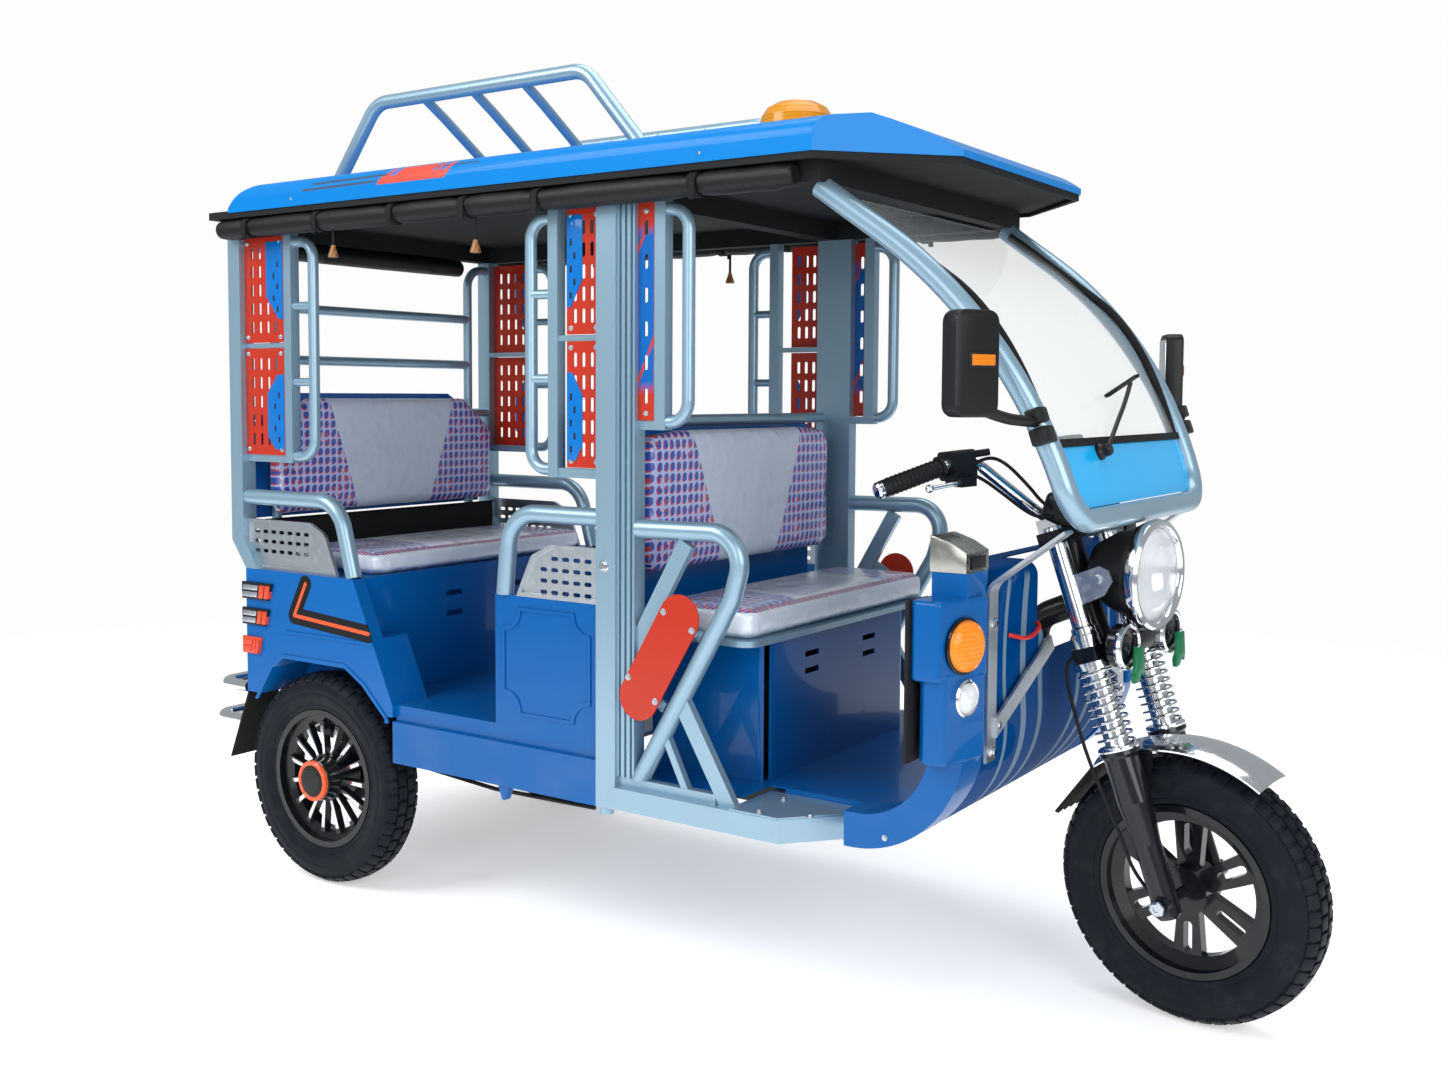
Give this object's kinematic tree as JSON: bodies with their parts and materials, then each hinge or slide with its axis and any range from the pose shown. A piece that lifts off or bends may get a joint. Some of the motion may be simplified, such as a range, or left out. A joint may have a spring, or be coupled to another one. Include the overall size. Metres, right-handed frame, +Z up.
{
  "type": "electric passenger tricycle",
  "caption": "Open-sided electric three-wheeled passenger vehicle with steered front fork, driver bench, rear bench, tube-framed roof and driven rear axle.",
  "frame": {"origin": "on the ground under the middle of the length and width", "axes": "+X forward, +Y towards the vehicle's left, +Z up; the wheels stand on z = 0"},
  "size_m": [2.6261, 1.2328, 1.879],
  "materials": {
    "tyre": "matte",
    "black_wheel": "satin",
    "alloy_wheel": "machined",
    "axle_iron": "rough",
    "chassis_black": "satin",
    "body_blue": "gloss",
    "sky_blue": "gloss",
    "frame_silver": "gloss",
    "panel_red": "gloss",
    "black_plastic": "matte",
    "floor_black": "satin",
    "curtain": "cloth",
    "amber": "gloss",
    "glass": "clear",
    "chrome": "polished",
    "seat_cover": "satin",
    "fork_black": "satin",
    "lead_plate": "matte",
    "rubber": "matte",
    "silver_plate": "brushed",
    "red_lens": "gloss"
  },
  "bodies": {
    "chassis": {"rear_axle": "axle_iron", "chassis_rails": "chassis_black", "rear_tub": "body_blue", "floor_pan": "body_blue", "side_panels": "body_blue", "pillars": "frame_silver", "top_rails": "frame_silver", "guard_loops": "frame_silver", "seat_frames": "frame_silver", "arm_rails": "frame_silver", "step_rails": "frame_silver", "red_panels": "panel_red", "guard_plates": "silver_plate", "roof_shell": "sky_blue", "roof_lining": "black_plastic", "roof_rack": "frame_silver", "beacon": "amber", "rolled_curtains": "curtain", "windshield_frame": "frame_silver", "windshield_glass": "glass", "windshield_panel": "sky_blue", "nose_cowl": "body_blue", "leg_shields": "body_blue", "column_caps": "black_plastic", "lamp_pods": "body_blue", "turn_lamps": "amber", "fog_lamps": "chrome", "cowl_brackets": "silver_plate", "mirrors": "black_plastic", "rear_bumper": "chrome", "rear_mud_flaps": "rubber", "tail_lamps": "red_lens", "brake_pedal": "black_plastic", "driver_bench": "body_blue", "battery_block": "lead_plate", "rear_seat_cushion": "seat_cover", "driver_seat_cushion": "seat_cover", "rear_seat_back": "seat_cover", "driver_seat_back": "seat_cover", "red_wire": "panel_red", "seat_back_shells": "body_blue"},
    "fork": {"fork_cables": "rubber", "fork_castings": "fork_black", "fork_springs": "chrome", "handlebar": "chrome", "bar_controls": "black_plastic", "brake_levers": "chrome", "instrument": "black_plastic", "lamp_brackets": "silver_plate", "headlamp": "chrome", "headlamp_lens": "glass", "horns": "black_plastic", "front_mudguard": "chrome", "front_flap": "rubber"},
    "front_wheel": {"front_tyre": "tyre", "front_wheel": "black_wheel"},
    "rear_wheel_right": {"rear_tyre_right": "tyre", "rear_wheel_right": "alloy_wheel"},
    "rear_wheel_left": {"rear_tyre_left": "tyre", "rear_wheel_left": "alloy_wheel"}
  },
  "joints": [
    {"name": "steering", "type": "hinge", "parent": "chassis", "child": "fork", "pos_m": [1.02585, 0, 0.24378], "axis": [-0.3206, 0, 0.9472], "range_deg": [-26, 44]},
    {"name": "front_wheel_spin", "type": "hinge", "parent": "fork", "child": "front_wheel", "pos_m": [1.05858, -0.00548, 0.25486], "axis": [0.1482, 0.9877, 0.0501], "continuous": true},
    {"name": "rear_right_spin", "type": "hinge", "parent": "chassis", "child": "rear_wheel_right", "pos_m": [-0.874, -0.417, 0.255], "axis": [0, 1, 0], "continuous": true},
    {"name": "rear_left_spin", "type": "hinge", "parent": "chassis", "child": "rear_wheel_left", "pos_m": [-0.874, 0.417, 0.255], "axis": [0, 1, 0], "continuous": true}
  ]
}
